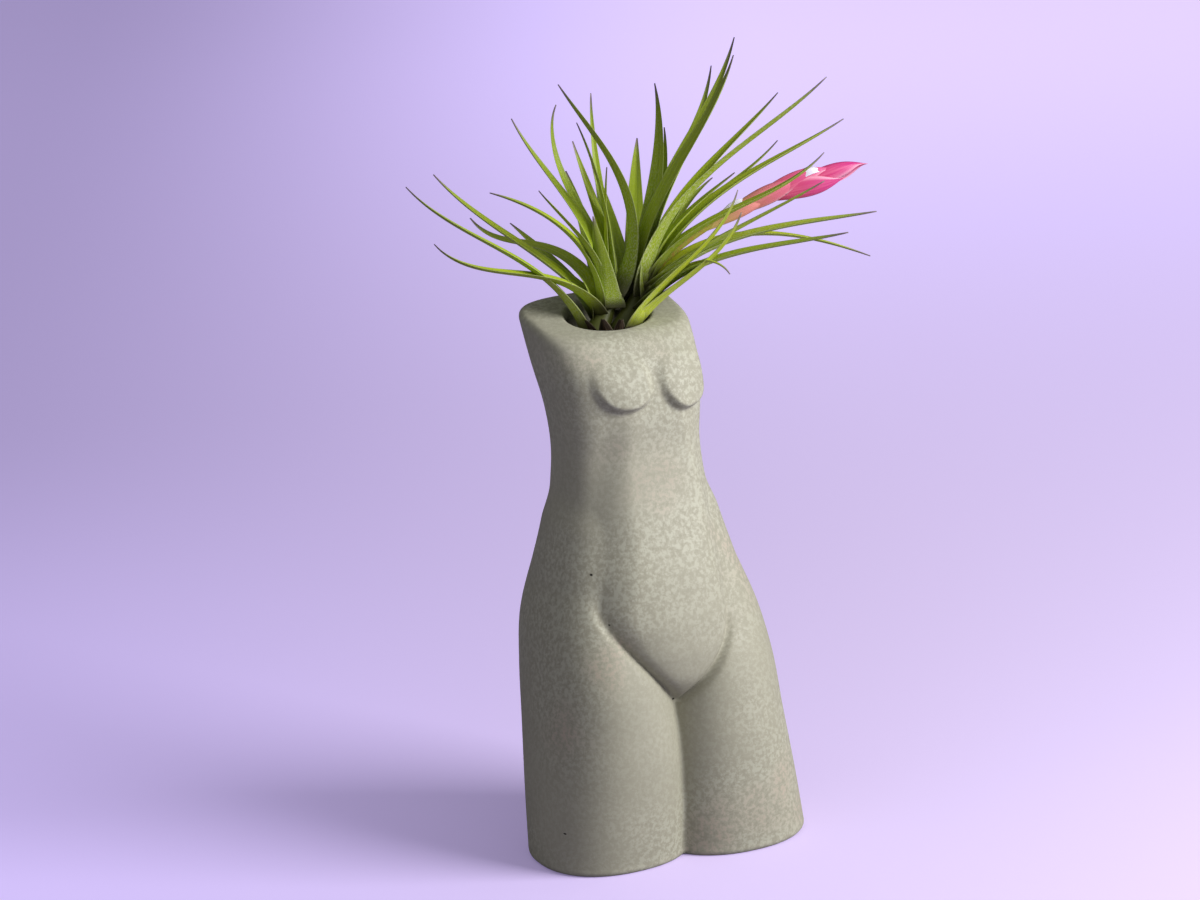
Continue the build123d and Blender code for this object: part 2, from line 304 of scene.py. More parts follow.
def panel_at(x, z):
    """How far inside the belly's panel a place is, its rise and its groove along the edge."""
    left, right, left_flank, right_flank, rise, groove = along_rows(PANEL, z / HEIGHT)
    above = along_rows(PANEL, z / HEIGHT + EDGE_STEP)
    on_left = x < (left + right) / 2
    edge = np.where(on_left, x - left, right - x)
    lean = np.where(on_left, above[0] - left, above[1] - right) / (EDGE_STEP * HEIGHT)
    flank = np.where(on_left, left_flank, right_flank)
    inside = edge / np.sqrt(1 + lean**2)
    share = smooth_step(inside, -FLANK_OUTSIDE * flank, FLANK_INSIDE * flank)
    within = (z > PANEL[0][0] * HEIGHT) & (z < PANEL[-1][0] * HEIGHT)
    line = np.exp(-((inside / GROOVE_WIDTH) ** 2)) * groove
    line = line * np.where(on_left, 1.0, RIGHT_GROOVE_SHARE)
    return np.where(within, share, 0.0), np.where(within, rise, 0.0), np.where(within, line, 0.0)


def body_distance(x, y, z):
    """Roughly the distance outside the torso: two legs, and a trunk that carries the panel."""
    front = smooth_step(PANEL_FRONT - y, 0.0, PANEL_FADE)
    share, rise, groove = panel_at(x, z)
    legs = soft_min(oval(x, y, z, LEFT_LEG, -1), oval(x, y, z, RIGHT_LEG, 1), FORK_BLEND)
    legs = np.where(z > LEGS_END, legs + (z - LEGS_END) * END_STEEPNESS, legs)
    legs = legs + PANEL_CUT * share * front + WAIST_SINK * smooth_step(z, WAIST_FROM, WAIST_TO)
    trunk = oval(x, y, z, TRUNK, 1) - rise * share * front
    trunk = np.where(z < TRUNK_START, trunk + (TRUNK_START - z) * END_STEEPNESS, trunk)
    crease = CREASE + CREASE_HIGH * smooth_step(z, CREASE_LOW_Z, CREASE_HIGH_Z)
    crease = crease + CREASE_BEHIND * smooth_step(y, CREASE_FRONT_Y, CREASE_BACK_Y)
    return soft_min(legs, trunk, crease) + groove * front


def axis_y(z):
    return along_rows(AXIS, z / HEIGHT)[0]


def reach_at(angle, z, offset=0.0):
    """Distance from the inner line out to the body's surface, moved in by the offset."""
    centre = axis_y(z)
    low, high = np.full(z.shape, NEAREST), np.full(z.shape, FURTHEST)
    for _ in range(HALVINGS):
        middle = (low + high) / 2
        x, y = middle * np.sin(angle), centre - middle * np.cos(angle)
        outside = body_distance(x, y, z) > -offset
        high, low = np.where(outside, middle, high), np.where(outside, low, middle)
    return (low + high) / 2


def ring_at(angle, reach, centre, z):
    """Ring of points round the inner line, which lies at y = centre."""
    return np.stack([reach * np.sin(angle), centre - reach * np.cos(angle), z], -1)


def wall_ring(angle, below, inset, offset=0.0):
    """Ring that lies a distance below the neck's plane and a distance in from the wall."""
    z = np.full(angle.shape, NECK_HEIGHT)
    for _ in range(LEVELLINGS):
        y = axis_y(z) - (reach_at(angle, z, offset) - inset) * np.cos(angle)
        z = NECK_HEIGHT + y * math.tan(NECK_SLOPE) - below / math.cos(NECK_SLOPE)
    return ring_at(angle, reach_at(angle, z, offset) - inset, axis_y(z), z)


def mouth_ring(angle, grow, below):
    """Oval ring round the mouth, grown outward, a distance below the neck's plane."""
    x = (MOUTH_X + grow) * np.sin(angle)
    forward = MOUTH_CENTRE - (MOUTH_Y + grow) * np.cos(angle)
    s, c = math.sin(NECK_SLOPE), math.cos(NECK_SLOPE)
    return np.stack([x, forward * c + below * s, NECK_HEIGHT + forward * s - below * c], -1)


def bust(x, z):
    """Rise of the bust: two flat faces that slope out to crisp rounded lower lips."""
    rise = np.zeros(np.shape(x))
    for middle, half, level, lip, height in BUST:
        across = np.abs(x - middle) / half
        to_left = np.clip((middle - x) / half, 0, 1) ** 2
        bend = level + BUST_BEND * to_left
        down = np.where(z < bend, (bend - z) / (level - lip), (z - bend) / BUST_ABOVE)
        inside = 1 - (across**BUST_POWER + down**BUST_POWER) ** (1 / BUST_POWER)
        slope = np.clip((BUST_TOP - z) / (BUST_TOP - lip - LIP_REST), 0, 1)
        fall = 1 - SIDE_FALL * to_left
        rise = np.maximum(rise, height * slope * fall * smooth_step(inside, 0.0, LIP_FADE))
    return rise


def sculpt(points):
    """Moves the front of the chest out for the bust."""
    x, y, z = points[..., 0], points[..., 1], points[..., 2]
    inward = axis_y(np.clip(z, 0, HEIGHT)) - y
    facing = smooth_step(inward / (np.hypot(x, inward) + TINY), FACING_START, FACING_FULL)
    moved = points.copy()
    moved[..., 1] = y - bust(x, z) * facing
    return moved


def torso_points():
    """Rings from the foot's middle, up the outside, through the mouth and down the inside."""
    angle = np.linspace(0, 2 * np.pi, AROUND, endpoint=False)
    foot = reach_at(angle, np.full(AROUND, FOOT_ROUND)) - FOOT_ROUND
    centre = axis_y(np.array([0.0]))[0]
    rings = []
    for share in (0.12, 0.3, 0.5, 0.7, 0.85, 0.95):
        rings.append(ring_at(angle, foot * share, centre, np.zeros(AROUND)))
    for turn in np.radians([0, 18, 36, 54, 72, 90]):
        z = np.full(AROUND, FOOT_ROUND * (1 - math.cos(turn)))
        rings.append(ring_at(angle, foot + FOOT_ROUND * math.sin(turn), centre, z))
    shoulder = wall_ring(angle, RIM_ROUND, 0.0)
    for step in range(1, UP):
        z = FOOT_ROUND + (shoulder[:, 2] - FOOT_ROUND) * step / UP
        rings.append(sculpt(ring_at(angle, reach_at(angle, z), axis_y(z), z)))
    for turn in np.radians([0, 15, 30, 45, 60, 75, 90]):
        below, inset = RIM_ROUND * (1 - math.sin(turn)), RIM_ROUND * (1 - math.cos(turn))
        rings.append(sculpt(wall_ring(angle, below, inset)))
    edge, lip = rings[-1], mouth_ring(angle, MOUTH_ROUND, 0.0)
    for share in (0.15, 0.35, 0.6, 0.85):
        rings.append(edge + (lip - edge) * share)
    for turn in np.radians([0, 22, 45, 68, 90]):
        grow, below = MOUTH_ROUND * (1 - math.sin(turn)), MOUTH_ROUND * (1 - math.cos(turn))
        rings.append(mouth_ring(angle, grow, below))
    throat, under = mouth_ring(angle, 0.0, WALL), wall_ring(angle, UNDER_NECK, 0.0, WALL)
    rings += [mouth_ring(angle, 0.0, WALL * 0.6), throat]
    for share in (0.4, 0.8, 1.0):
        rings.append(throat + (under - throat) * share)
    for step in range(1, DOWN + 1):
        z = under[:, 2] + (FLOOR_THICKNESS - under[:, 2]) * step / DOWN
        rings.append(ring_at(angle, reach_at(angle, z, WALL), axis_y(z), z))
    last, middle = rings[-1], np.array([0, centre, FLOOR_THICKNESS])
    for share in (0.7, 0.4, 0.15):
        rings.append(middle + (last - middle) * share)
    return rings, centre


# Place across, height and radius in mm of the small holes in the glaze
PINHOLES = [(-22.3, 90.2, 0.45), (-0.9, 48.6, 0.5), (-38.4, 13.4, 0.35), (-20.4, 75.8, 0.3)]


def glaze():
    """Matt grey-green glaze with fine light and pinkish mottling, a few pinholes, and painted
    shade that darkens it towards the bottom.
    """
    s = Shader("glaze")
    blot, fine = s.noise(720, 4.0, 0.66, 0.15), s.noise(1700, 2.0, 0.5)
    strength = s.span(s.noise(24, 2.0, 0.5), 0.36, 0.62, 0.3, 1.0)
    colour = s.mix(s.span(s.noise(48, 2.0, 0.55), 0.3, 0.7), (163, 161, 145), (169, 167, 151))
    warm = s.span(s.noise(30, 2.0, 0.5), 0.52, 0.68)
    light = s.mix(warm, (181, 181, 165), (182, 171, 156))
    colour = s.mix(s.times(s.span(blot, 0.50, 0.56), strength), colour, light)
    deep = s.times(s.span(blot, 0.47, 0.40), strength)
    colour = s.mix(s.times(deep, 0.8), colour, (156, 154, 138))
    colour = s.mix(s.span(fine, 0.60, 0.70, 0, 0.25), colour, (190, 188, 173))
    x, y, z = s.split(s.coordinates)
    seen_from_front = s.combine(x, 0.0, z)
    holes = 0.0
    for across, height, size in PINHOLES:
        away = s.distance(seen_from_front, (across * MM, 0.0, height * MM))
        holes = s.math("MAXIMUM", s.span(away, size * MM, size * 0.5 * MM), holes)
    on_front = s.span(y, 0.002, -0.002)
    colour = s.mix(s.times(holes, on_front), colour, (30, 28, 24))
    # Painted shade: the glaze is darkened from the waist down over the legs, where less of the key
    # light falls.
    painted_shade_low = s.span(z, 0.115, 0.06, 0, 0.22)
    colour = s.mix(painted_shade_low, colour, (216, 214, 208), "MULTIPLY")
    normal = s.bump(s.noise(2600, 2.0), 0.00004, 0.6)
    normal = s.bump(blot, 0.00003, 0.5, normal)
    roughness = s.span(blot, 0.35, 0.65, 0.62, 0.52)
    return s.finish(colour, roughness, normal, Specular_IOR_Level=0.3)


def vase():
    rings, centre = torso_points()
    points = [np.array([[0, centre, 0.0]])] + rings + [np.array([[0, centre, FLOOR_THICKNESS]])]
    faces = ring_faces(len(rings), AROUND, 1)
    last = 1 + (len(rings) - 1) * AROUND
    for i in range(AROUND):
        j = (i + 1) % AROUND
        faces.append((0, 1 + j, 1 + i))
        faces.append((last + AROUND, last + i, last + j))
    points = np.concatenate(points)
    mesh_object("vase_body", points, faces, glaze(), "holder", ["torso_vase"])


# Air plant, in millimetres. Each rosette's stem runs from its foot to its top and gets thinner.
LEFT_FOOT, LEFT_TOP = np.array([-4.0, 15.5, 156.5]), np.array([4.0, 16.5, 168.0])
RIGHT_FOOT, RIGHT_TOP = np.array([3.0, 12.0, 157.0]), np.array([12.0, 14.0, 170.0])
STEM_FOOT, STEM_TOP, LEAF_LENGTH, LEAF_WIDTH, LEAF_THICK = 4.5, 1.5, 80.0, 8.0, 1.3
TIP_WIDTH, MOST_TWIST, MOST_WAVE, WAVES = 0.4, 16, 0.05, 9
# Powers that crowd a leaf's rings to its base, hold back its twist and shape its outline
CROWDING, TWIST_POWER, OUTLINE_POWER = 1.08, 1.5, 1.6
# The base clasps the stem up to CLASP_END, and the leaf thins by THINNING towards its tip
CLASP, CLASP_END, THINNING, FULLNESS, EDGE_THICK = 1.25, 0.2, 0.75, 0.8, 0.16
# Roundness of the channel's bottom, and how far it lies below the leaf's line
VALLEY_ROUND, VALLEY_SINK = 0.03, 0.35
# How far out from the stem's middle leaves start, and how thick the stem is, as shares
LEAF_START, STEM_SHARE = 0.7, 0.8
STEM_SIDES, STEM_RINGS, STEM_BELOW = 16, 9, 0.1
# A leaf's line is worked out in STEPS and its surface in LEAF_RINGS of ACROSS points a side
STEPS, LEAF_RINGS, ACROSS = 24, 45, 11
# Depth of a leaf's channel as a share of its half width, and what its base and its tip add
CHANNEL, CHANNEL_MORE = 0.42, 0.25
# Place up the stem, heading, rise at base, middle and tip, turn, length and width shares,
# then how silvery and how yellow the leaf is. Angles are in degrees, and 0 heads to the front.
LEFT_LEAVES = [
    (0.00, -105, 72, 35, 55, 5, 0.91, 0.75, 0.2, 0.3),
    (0.30, -165, 45, 30, 25, 0, 0.56, 0.70, 0.2, 0.1),
    (0.35, -150, 95, 2, 37, -22, 0.82, 0.80, 0.3, 0.4),
    (0.46, -97, 64, 14, 58, 0, 0.73, 0.90, 0.2, 0.6),
    (0.50, -128, 52, 36, 53, 0, 0.80, 0.80, 0.2, 0.5),
    (0.50, 170, 60, 45, 30, 0, 0.62, 0.70, 0.2, 0.1),
    (0.56, -119, 95, 45, 18, 0, 0.65, 0.85, 0.3, 0.4),
    (0.60, -90, 100, 57, 55, 0, 0.55, 0.70, 0.3, 0.3),
    (0.60, -60, 95, 80, 85, 0, 0.36, 1.20, 0.3, 0.1),
    (0.65, -146, 98, 53, 65, 0, 0.79, 0.75, 0.2, 0.2),
    (0.77, -172, 92, 51, 132, 9, 0.79, 0.55, 0.3, 0.1),
    (0.78, -168, 105, 67, 69, 0, 0.61, 0.60, 0.3, 0.4),
    (0.90, 170, 86, 72, 106, 0, 0.75, 0.45, 0.2, 0.1),
    (0.90, -110, 88, 92, 98, 0, 0.48, 0.40, 0.1, 1.0),
    (0.98, -98, 130, 69, 62, 0, 0.88, 1.10, 0.4, 0.2),
    (1.00, -117, 94, 81, 69, 0, 0.65, 0.60, 0.3, 0.2),
]
RIGHT_LEAVES = [
    (0.00, 47, 63, 42, 74, 0, 0.69, 1.00, 0.1, 0.9),
    (0.12, 48, 48, 37, 72, 0, 0.61, 0.90, 0.1, 0.8),
    (0.30, 125, 50, 25, 10, 0, 0.78, 0.80, 0.4, 0.3),
    (0.40, 170, 60, 50, 35, 0, 0.62, 0.90, 0.3, 0.1),
    (0.42, 50, 47, 13, 13, 0, 0.87, 0.90, 0.6, 0.2),
    (0.56, 84, 95, 53, 71, 5, 0.99, 1.20, 0.4, 0.3),
    (0.60, 150, 60, 40, 20, 0, 0.75, 0.90, 0.3, 0.2),
    (0.61, 68, 46, 10, 6, 0, 0.95, 1.00, 0.8, 0.1),
    (0.63, 75, 54, -4, -26, 4, 0.97, 0.70, 0.2, 0.8),
    (0.65, 120, 74, 70, 108, 0, 0.80, 1.00, 0.7, 0.2),
    (0.72, 50, 82, 39, 44, 3, 1.12, 1.15, 0.9, 0.2),
    (0.81, 33, 15, 27, -61, -2, 0.42, 0.40, 0.2, 0.9),
    (0.81, 53, 39, 27, 30, 0, 0.80, 0.80, 0.3, 0.4),
    (0.81, 104, 87, 48, 69, 2, 1.02, 0.90, 0.4, 0.3),
    (0.85, 116, 86, 42, 77, 2, 0.91, 0.80, 0.5, 0.2),
    (0.86, 73, 78, 42, 35, 0, 0.55, 0.60, 0.4, 0.5),
    (0.86, 120, 75, 62, 100, 0, 0.60, 0.70, 0.5, 0.2),
    (0.87, 86, 62, 24, 25, 1, 1.01, 0.90, 0.2, 0.5),
    (0.96, 104, 68, 32, 34, 2, 0.94, 0.80, 0.2, 0.5),
    (0.97, 103, 58, 22, 36, 0, 0.80, 0.50, 0.1, 0.6),
    (1.00, 63, 59, 22, 48, 3, 0.82, 0.90, 0.3, 0.5),
]


class Growth:
    """Collects closed strips and tubes of the plant, with their shader values, into one mesh."""

    def __init__(self):
        self.points, self.faces, self.values = [], [], {}

    def add(self, rings, **values):
        """Closed tube through rings of equal count, capped at both ends."""
        rings = np.asarray(rings, float)
        steps, count = rings.shape[:2]
        first = sum(len(p) for p in self.points)
        self.points.append(rings.reshape(-1, 3))
        self.faces += ring_faces(steps, count, first)
        self.faces.append(tuple(first + i for i in range(count))[::-1])
        last = first + (steps - 1) * count
        self.faces.append(tuple(last + i for i in range(count)))
        for key, value in values.items():
            value = np.broadcast_to(np.asarray(value, float), (steps, count))
            self.values.setdefault(key, []).append(value.reshape(-1))

    def make(self, name, material, slot, nodes):
        points = np.concatenate(self.points)
        values = {key: np.concatenate(parts) for key, parts in self.values.items()}
        mesh_object(name, points, self.faces, material, "air_plant", nodes, values)


def outward(heading):
    return np.array([math.sin(heading), -math.cos(heading), 0])


def arc_frames(start, heading, base, middle, tip, turn, length):
    """Points, directions and side vectors along a leaf that bends as it grows."""
    points, ahead, side = [], [], []
    point = np.array(start, float)
    for step in range(STEPS + 1):
        s = step / STEPS
        at_base, at_middle, at_tip = (1 - s) * (1 - 2 * s), 4 * s * (1 - s), s * (2 * s - 1)
        rise = math.radians(base * at_base + middle * at_middle + tip * at_tip)
        bearing = math.radians(heading + turn * s)
        way = math.cos(rise) * outward(bearing) + np.array([0, 0, math.sin(rise)])
        points.append(point)
        ahead.append(way)
        side.append(np.array([math.cos(bearing), math.sin(bearing), 0]))
        point = point + way * length / STEPS
    return np.array(points), np.array(ahead), np.array(side)


def finer(rows, places):
    """Smooth curve through evenly spaced rows, read at the given places from 0 to 1."""
    spaced = np.column_stack([np.linspace(0, 1, len(rows)), rows])
    return along_rows(spaced, places).T


def unit(rows):
    return rows / np.linalg.norm(rows, axis=1, keepdims=True)


def frames_at(frames, places):
    """Centre line at the given places, with the two directions across it, one of them upward."""
    centre, ahead, side = (finer(rows, places) for rows in frames)
    ahead = unit(ahead)
    side = unit(side - ahead * np.sum(side * ahead, axis=1, keepdims=True))
    return centre, side, np.cross(ahead, side)


def blade(growth, frames, width, thickness, tip_width, twist, wave, silver, yellow, clasp=CLASP):
    """Channelled leaf that clasps the stem at its base and ends in a fine tip."""
    places = np.linspace(0, 1, LEAF_RINGS) ** CROWDING
    centre, side, inner = frames_at(frames, places)
    roll = np.radians(twist) * places**TWIST_POWER + wave * np.sin(places * WAVES + twist)
    cos, sin = np.cos(roll)[:, None], np.sin(roll)[:, None]
    side, inner = side * cos + inner * sin, inner * cos - side * sin
    half = (tip_width + (width - tip_width) * (1 - places**OUTLINE_POWER)) / 2
    half = half * (1 + (clasp - 1) * (1 - smooth_step(places, 0.0, CLASP_END)))
    near_base, near_tip = 1 - smooth_step(places, 0.05, 0.35), smooth_step(places, 0.6, 0.95)
    deep = half * (CHANNEL + CHANNEL_MORE * near_base + CHANNEL_MORE * near_tip)
    thick = thickness * (1 - THINNING * places) * FULLNESS
    across = np.sin(np.linspace(-np.pi / 2, np.pi / 2, ACROSS))
    # A rounded valley whose middle lies below the leaf's line, and a body that thins to the edges
    valley = np.sqrt(across**2 + VALLEY_ROUND) - np.sqrt(VALLEY_ROUND) - VALLEY_SINK
    body = EDGE_THICK + (1 - EDGE_THICK) * (1 - across**2)
    rings = []
    for i in range(LEAF_RINGS):
        sheet = centre[i] + np.outer(across * half[i], side[i])
        upper = sheet + np.outer(valley * deep[i] + body * thick[i] * 0.3, inner[i])
        lower = sheet + np.outer(valley * deep[i] - body * thick[i] * 0.7, inner[i])
        rings.append(np.concatenate([upper, lower[::-1]]))
    growth.add(
        rings,
        along=places[:, None],
        across=np.concatenate([across, across[::-1]]),
        under=np.repeat([0.0, 1.0], ACROSS),
        seed=rng.random(),
        silver=silver,
        yellow=yellow,
        breadth=half[:, None],
    )


def leaf_material():
    """Green leaf with silvery scales, darker and browner at its base, and a dusky tip."""
    s = Shader("leaf")
    along, across, seed = s.attribute("along"), s.attribute("across"), s.attribute("seed")
    wide = s.times(across, s.attribute("breadth"))
    speckle = s.combine(s.times(wide, 3.0), s.times(along, 96.0), s.times(seed, 90.0))
    streak = s.combine(s.times(wide, 2.6), s.times(along, 3.0), s.times(seed, 50.0))
    streaks = s.noise(1.0, 2.0, 0.5, 0.0, streak)
    fresh = s.mix(seed, (148, 172, 20), (160, 182, 34))
    colour = s.mix(s.attribute("yellow"), fresh, (196, 210, 40))
    colour = s.mix(s.span(streaks, 0.38, 0.66, 0, 0.5), colour, (116, 142, 10))
    colour = s.mix(s.span(along, 0.5, 0.95, 0, 0.5), colour, (122, 134, 52))
    rim = s.span(s.math("ABSOLUTE", across), 0.86, 0.98, 0, 0.45)
    colour = s.mix(rim, colour, (168, 176, 128))
    scales = s.noise(1.0, 3.0, 0.65, 0.4, speckle)
    near = s.span(along, 0.02, 0.7, 1.0, 0.3)
    silver = s.math("ADD", s.attribute("silver"), s.times(s.attribute("under"), 0.35))
    force = s.math("MINIMUM", s.times(near, silver), 0.85)
    scaly = s.times(s.span(scales, 0.46, 0.62), force)
    colour = s.mix(scaly, colour, (200, 206, 158))
    colour = s.mix(s.span(along, 0.02, 0.14, 0.9, 0), colour, (48, 42, 30))
    colour = s.mix(s.span(along, 0.86, 0.99, 0, 0.85), colour, (118, 98, 112))
    normal = s.bump(scales, 0.00010, 0.5)
    normal = s.bump(s.noise(1.0, 1.0, 0.5, 0.0, streak), 0.00012, 0.4, normal)
    roughness = s.span(scaly, 0.0, 0.6, 0.46, 0.7)
    return s.finish(colour, roughness, normal, Specular_IOR_Level=0.4)


def rosette(name, foot, top, rows, material, node):
    """Leaves of one rosette and the short stem they grow from."""
    growth, axis = Growth(), top - foot
    for along, heading, base, middle, tip, turn, length, width, silver, yellow in rows:
        out = (STEM_FOOT + (STEM_TOP - STEM_FOOT) * along) * LEAF_START
        start = foot + axis * along + outward(math.radians(heading)) * out
        frames = arc_frames(start, heading, base, middle, tip, turn, length * LEAF_LENGTH)
        twist, wave = rng.uniform(-MOST_TWIST, MOST_TWIST), rng.uniform(0.0, MOST_WAVE)
        wide = width * LEAF_WIDTH
        blade(growth, frames, wide, LEAF_THICK, TIP_WIDTH, twist, wave, silver, yellow)
    side = np.cross(axis, [0, 1.0, 0])
    side /= np.linalg.norm(side)
    back = np.cross(axis, side) / np.linalg.norm(axis)
    turns = np.linspace(0, 2 * np.pi, STEM_SIDES, endpoint=False)
    circle = np.outer(np.cos(turns), side) + np.outer(np.sin(turns), back)
    stem = []
    for place in np.linspace(-STEM_BELOW, 1.0, STEM_RINGS):
        radius = (STEM_FOOT + (STEM_TOP - STEM_FOOT) * place) * STEM_SHARE
        stem.append(foot + axis * place + radius * circle)
    values = dict(along=0.04, across=0.0, under=0.0, seed=0.5, silver=0.2, yellow=0.1)
    growth.add(stem, breadth=1.0, **values)
    growth.make(name, material, "leaf", [node])


def tube(growth, frames, places, radii, count, **values):
    centre, side, up = frames_at(frames, places)
    turns = np.linspace(0, 2 * np.pi, count, endpoint=False)
    rings = []
    for i in range(len(places)):
        circle = np.outer(np.cos(turns), side[i]) + np.outer(np.sin(turns), up[i])
        rings.append(centre[i] + radii[i] * circle)
    growth.add(rings, **values)


# Heading, rise at base, middle and tip, turn and length of the flower spike
SPIKE = (78, 42.5, 17.3, 8, 0, 77.0)
SPIKE_FRAMES = arc_frames(RIGHT_TOP, *SPIKE)
STALK_END, STALK_RADIUS, STALK_TAPER, STALK_RINGS, STALK_SIDES = 0.72, 1.5, 0.9, 22, 12
# Rings and points a side of a scale, its flatness, its thickness at the base, and the least
# radius of its inner skin as a share of the scale's
SCALE_RINGS, SCALE_ACROSS, SPIKE_FLATNESS, SCALE_THICK, SCALE_LEAST = 26, 15, 0.62, 0.32, 0.3
# Share of the radius that a scale has at its ends, radius of its very tip, and the share by which
# it narrows there
SCALE_ENDS, SCALE_TIP, SCALE_NARROWING = 0.42, 0.12, 0.72
# Height of the keel down a scale's middle, its width and where it starts, all as shares
KEEL, KEEL_WIDTH, KEEL_START = 0.10, 0.22, 0.1
# Name, nodes replaced, where along the spike it starts and ends, side it faces and half angle
# that it wraps, both in degrees, radius, lift of its tip, age from pink to pale, and 1 for a petal
BRACTS = [
    ("bract_lowest", ["bract_1"], 0.30, 0.58, -160, 115, 2.3, 1.6, 0.75, 0.0),
    ("bract_low", ["bract_2"], 0.42, 0.74, 140, 118, 2.9, 1.9, 0.35, 0.0),
    ("bract_middle", ["bract_3"], 0.53, 0.86, 108, 104, 3.4, 1.9, 0.10, 0.0),
    ("bract_high", ["bract_4"], 0.58, 0.90, -125, 112, 3.7, 1.9, 0.04, 0.0),
    ("bract_tip", ["bract_5"], 0.70, 1.00, 60, 178, 2.8, 0.0, 0.0, 0.0),
    ("petal_high", [], 0.68, 0.84, 117, 33, 4.15, 0.3, 0.0, 1.0),
    ("petal_low", [], 0.38, 0.52, 105, 42, 2.7, 0.5, 0.0, 1.0),
]


def bract(name, nodes, first, last, toward, wrap, swell, lift, age, petal, material):
    """Pointed boat-shaped scale that wraps one side of the spike and overlaps the next."""
    growth, toward = Growth(), math.radians(toward)
    v, u = np.linspace(0, 1, SCALE_RINGS), np.linspace(-1, 1, SCALE_ACROSS)
    centre, side, up = frames_at(SPIKE_FRAMES, first + (last - first) * v)
    belly = np.sin(np.pi * v**1.15) ** 0.8
    radius = swell * (SCALE_ENDS + (1 - SCALE_ENDS) * belly) * (1 - v**6) + SCALE_TIP
    half = np.radians(wrap) * (1 - SCALE_NARROWING * v**3.5)
    keel = KEEL * np.exp(-((u / KEEL_WIDTH) ** 2))
    rings = []
    for i in range(len(v)):
        angle = toward + half[i] * u
        middle = math.cos(toward) * side[i] + math.sin(toward) * up[i]
        start = centre[i] + middle * lift * v[i] ** 1.5
        outer = radius[i] * (1 + keel * (v[i] > KEEL_START))
        inner = np.maximum(outer - SCALE_THICK * (1 - 0.6 * v[i]), radius[i] * SCALE_LEAST)
        skins = []
        for skin in (outer, inner):
            to_side = np.outer(np.cos(angle) * skin * SPIKE_FLATNESS, side[i])
            skins.append(start + to_side + np.outer(np.sin(angle) * skin, up[i]))
        rings.append(np.concatenate([skins[0], skins[1][::-1]]))
    across = np.concatenate([u, u[::-1]])
    seed = rng.random()
    growth.add(rings, along=v[:, None], across=across, seed=seed, age=age, petal=petal)
    growth.make(name, material, "bract", nodes)


def bract_material():
    """Pink veined bract with pale edges, a base that is painted shade on young scales, or a white
    petal.
    """
    s = Shader("bract")
    along, across, age = s.attribute("along"), s.attribute("across"), s.attribute("age")
    place = s.combine(s.times(across, 9.0), s.times(along, 1.6), s.attribute("seed"))
    veins = s.noise(1.0, 2.0, 0.5, 0.0, place)
    colour = s.mix(s.span(along, 0.1, 0.9), (206, 66, 112), (198, 38, 128))
    colour = s.mix(s.span(veins, 0.42, 0.62, 0, 0.35), colour, (232, 116, 154))
    rim = s.span(s.math("ABSOLUTE", across), 0.7, 0.98, 0, 0.7)
    colour = s.mix(rim, colour, (246, 180, 204))
    old = s.mix(s.span(along, 0.15, 0.75), (206, 196, 110), (236, 158, 140))
    colour = s.mix(age, colour, old)
    # Base of each scale: on young scales deep crimson, painted shade where the neighbouring scale
    # overlaps it; on old scales their own pale tan.
    base = s.mix(s.span(age, 0.1, 0.3), (168, 26, 84), (226, 190, 130))
    colour = s.mix(s.span(along, 0.0, 0.34, 0.7, 0), colour, base)
    colour = s.mix(s.attribute("petal"), colour, (222, 217, 236))
    return s.finish(colour, 0.42, s.bump(veins, 0.00012, 0.5), Specular_IOR_Level=0.45)


def stalk_material():
    """Yellow-green stalk that reddens in blotches."""
    s = Shader("stalk")
    colour = s.mix(s.span(s.attribute("along"), 0.0, 1.0), (150, 160, 60), (214, 176, 96))
    colour = s.mix(s.span(s.noise(900, 2.0), 0.4, 0.65, 0, 0.5), colour, (186, 120, 74))
    return s.finish(colour, 0.5, s.bump(s.noise(700, 2.0), 0.0001, 0.4), Specular_IOR_Level=0.4)


def spike():
    pink = bract_material()
    for row in BRACTS:
        bract(*row, pink)
    stalk = Growth()
    places = np.linspace(0, STALK_END, STALK_RINGS)
    radii = STALK_RADIUS - STALK_TAPER * places
    tube(stalk, SPIKE_FRAMES, places, radii, STALK_SIDES, along=places[:, None])
    stalk.make("stalk", stalk_material(), "stalk", ["flower_stalk"])


STUB_TOP = (LEFT_FOOT + RIGHT_FOOT) / 2
STUB_LENGTH, STUB_RADIUS, STUB_RINGS, STUB_SIDES = 16.0, 5.5, 20, 28
ROOT_LENGTH, ROOTS, ROOT_RINGS, ROOT_SIDES, ROOT_TAPER = 22.0, 15, 22, 7, 0.55
MAIN_ROOT_RADIUS, FINE_ROOT_RADIUS, GOLDEN_ANGLE = 0.55, 0.35, 137.5
# Dry bases start this far below the stub's top and in from its side, and lean out by these angles
BASE_BELOW, BASE_INSET, BASE_LEAN, TIP_LEAN = 6.5, 1.2, 14, 24
DRY_THICK, DRY_TIP_WIDTH, DRY_WAVE, DRY_CLASP = 0.7, 1.2, 0.06, 1.0
# Heading and rise in degrees, length and width in mm of the dry leaf bases round the stub
DRY_BASES = [
    (-84, 82, 12.0, 7.5), (-62, 74, 9.0, 6.0), (-38, 86, 12.5, 8.0), (-14, 80, 8.5, 5.0),
    (2, 84, 12.0, 6.5), (22, 78, 9.5, 7.5), (44, 86, 12.5, 5.5), (78, 80, 10.0, 8.0),
]
# Heading of each main root, and its rise where it starts and where it ends
MAIN_ROOTS = [(20, -72, -86), (100, -66, -80), (160, -62, -84), (230, -60, -80), (300, -68, -86)]


